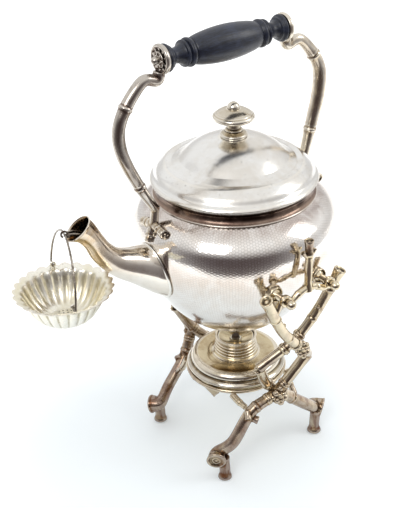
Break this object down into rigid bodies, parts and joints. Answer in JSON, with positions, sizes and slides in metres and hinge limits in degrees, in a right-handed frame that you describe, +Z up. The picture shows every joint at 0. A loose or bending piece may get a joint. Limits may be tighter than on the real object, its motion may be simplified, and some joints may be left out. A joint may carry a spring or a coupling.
{
  "type": "spirit kettle on stand",
  "caption": "Round silver-plated tea kettle that rests on a bamboo-form stand over a spirit lamp and tips forward on studs, with a lift-off lid, black grip and hinged tea strainer on the spout.",
  "frame": {"origin": "middle of the whole object's box, on the plane that the four feet stand on", "axes": "+Z up, spout towards -X, the object's mirror plane is XZ apart from the strainer's turn"},
  "size_m": [0.2932, 0.2068, 0.3829],
  "materials": {
    "silver_plate": "polished silver plate over brass",
    "tarnished_silver": "cast, silver-plated, tarnished to a warm tone",
    "strainer_silver": "thin pressed sheet, silver-plated",
    "ebony": "turned ebony, waxed",
    "steel": "plain rod and spring wire",
    "cotton": "braided wick"
  },
  "bodies": {
    "stand": {"knot_lower_left": "tarnished_silver", "knot_lower_right": "tarnished_silver", "knot_upper_left": "tarnished_silver", "knot_upper_right": "tarnished_silver", "lamp_hoop": "tarnished_silver", "leg_aft_left": "tarnished_silver", "leg_aft_right": "tarnished_silver", "leg_fore_left": "tarnished_silver", "leg_fore_right": "tarnished_silver", "stem_aft_left": "tarnished_silver", "stem_aft_right": "tarnished_silver", "stem_fore_left": "tarnished_silver", "stem_fore_right": "tarnished_silver", "strut_aft_left": "tarnished_silver", "strut_aft_right": "tarnished_silver", "strut_fore_left": "tarnished_silver", "strut_fore_right": "tarnished_silver"},
    "kettle": {"kettle_body": "silver_plate", "neck_band": "silver_plate", "spout": "silver_plate", "spout_clip": "steel", "grip": "ebony", "grip_rod": "steel", "handle_arm_fore": "silver_plate", "handle_arm_aft": "silver_plate", "rosette_fore": "silver_plate", "rosette_aft": "silver_plate", "grip_nut_fore": "silver_plate", "grip_nut_aft": "silver_plate", "stud_left_fore": "tarnished_silver", "stud_left_aft": "tarnished_silver", "stud_right_fore": "tarnished_silver", "stud_right_aft": "tarnished_silver", "bracket_left": "tarnished_silver", "bracket_right": "tarnished_silver"},
    "lid": {"lid": "silver_plate", "knob": "silver_plate", "knob_button": "silver_plate"},
    "bail": {"strainer_bail": "strainer_silver"},
    "strainer": {"strainer_bowl": "strainer_silver", "strainer_lug_left": "strainer_silver", "strainer_lug_right": "strainer_silver"},
    "lamp": {"lamp_reservoir": "silver_plate", "burner_collar": "silver_plate", "wick_tube": "silver_plate", "wick": "cotton"}
  },
  "joints": [
    {"name": "kettle_tilt", "type": "hinge", "parent": "stand", "child": "kettle", "pos_m": [0.0312, 0, 0.1911], "axis": [0, -1, 0], "range_deg": [0, 40]},
    {"name": "lid_lift", "type": "slide", "parent": "kettle", "child": "lid", "axis": [0, 0, 1], "range_m": [0, 0.03]},
    {"name": "lamp_lift", "type": "slide", "parent": "stand", "child": "lamp", "axis": [0, 0, 1], "range_m": [0, 0.01]},
    {"name": "strainer_swing", "type": "hinge", "parent": "kettle", "child": "bail", "pos_m": [-0.10439, -0.00132, 0.2568], "axis": [0.2756, 0.9613, 0], "range_deg": [0, 30]},
    {"name": "bowl_swing", "type": "hinge", "parent": "bail", "child": "strainer", "pos_m": [-0.109, 0, 0.2145], "axis": [0.2756, 0.9613, 0], "range_deg": [0, 25]}
  ]
}
